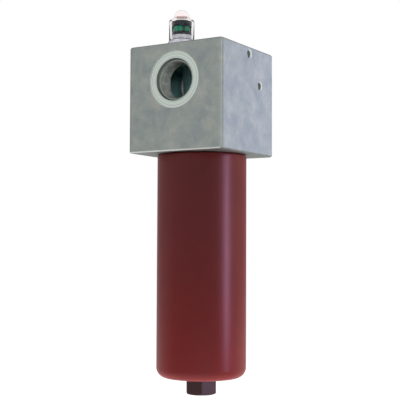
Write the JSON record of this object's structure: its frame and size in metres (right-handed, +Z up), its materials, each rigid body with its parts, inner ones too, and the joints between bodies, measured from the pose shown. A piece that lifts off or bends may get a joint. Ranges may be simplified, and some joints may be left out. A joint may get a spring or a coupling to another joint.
{
  "type": "hydraulic pressure filter",
  "caption": "In-line hydraulic pressure filter: cube head with facing threaded ports, screw-in bowl with a hexagonal end, pleated element, bypass valve and visual clogging indicator.",
  "frame": {"origin": "on the head's right face, the one with the two tapped holes, level with the ports and in line with the bowl's axis", "axes": "+Z up along the bowl's axis, +X out of the fixing face, the inlet port faces -Y and the outlet port faces +Y"},
  "size_m": [0.1, 0.1, 0.3542],
  "materials": {
    "head_metal": "blasted and zinc coated, matte",
    "bowl_paint": "satin paint",
    "seal_rubber": "matte",
    "backup_plastic": "matte",
    "zinc_sheet": "zinc plated",
    "pleat_media": "matte",
    "bright_steel": "turned, bright",
    "spring_steel": "drawn wire",
    "magnet": "dull",
    "clear_plastic": "clear, polished",
    "black_plastic": "moulded",
    "band_plastic": "green above, red below",
    "guide_plastic": "moulded"
  },
  "bodies": {
    "head": {"filter_head": "head_metal", "element_top_cap": "zinc_sheet", "element_o_ring": "seal_rubber", "element_bottom_cap": "zinc_sheet", "element_pleat_pack": "pleat_media", "element_core_tube": "zinc_sheet", "bypass_cage": "zinc_sheet", "bypass_spring": "spring_steel", "indicator_body": "bright_steel", "indicator_stem_seal": "seal_rubber", "indicator_flange_seal": "seal_rubber", "indicator_cover_seal": "seal_rubber", "indicator_cover": "clear_plastic", "indicator_guide": "guide_plastic", "indicator_window_frame": "black_plastic", "band_spring": "spring_steel", "piston_spring_seat": "zinc_sheet", "piston_spring": "spring_steel"},
    "bowl_seals": {"bowl_o_ring": "seal_rubber", "bowl_backup_ring": "backup_plastic"},
    "bowl": {"filter_bowl": "bowl_paint"},
    "bypass": {"bypass_poppet": "bright_steel"},
    "band": {"indicator_band": "band_plastic", "indicator_spindle": "bright_steel", "spindle_magnet": "magnet"},
    "piston": {"sensing_piston": "bright_steel", "piston_magnet": "magnet"}
  },
  "joints": [
    {"name": "bowl_travel", "type": "slide", "parent": "head", "child": "bowl_seals", "axis": [0, 0, -1], "range_m": [0, 0.0161]},
    {"name": "bowl_unscrew", "type": "hinge", "parent": "bowl_seals", "child": "bowl", "pos_m": [-0.05, 0, -0.1], "axis": [0, 0, -1], "range_deg": [0, 2880]},
    {"name": "bypass_lift", "type": "slide", "parent": "head", "child": "bypass", "axis": [0, 0, 1], "range_m": [0, 0.005], "stiffness_N_per_m": 2000, "springref_m": -0.01, "deforming": ["bypass_spring"]},
    {"name": "band_rise", "type": "slide", "parent": "head", "child": "band", "axis": [0, 0, 1], "range_m": [0, 0.005], "deforming": ["band_spring"]},
    {"name": "piston_stroke", "type": "slide", "parent": "head", "child": "piston", "axis": [0, 0, -1], "range_m": [0, 0.0012], "stiffness_N_per_m": 400, "springref_m": -0.001, "deforming": ["piston_spring"]}
  ],
  "couplings": [
    {"joint": "bowl_travel", "follows": "bowl_unscrew", "m_per_rad": 0.00031831}
  ]
}
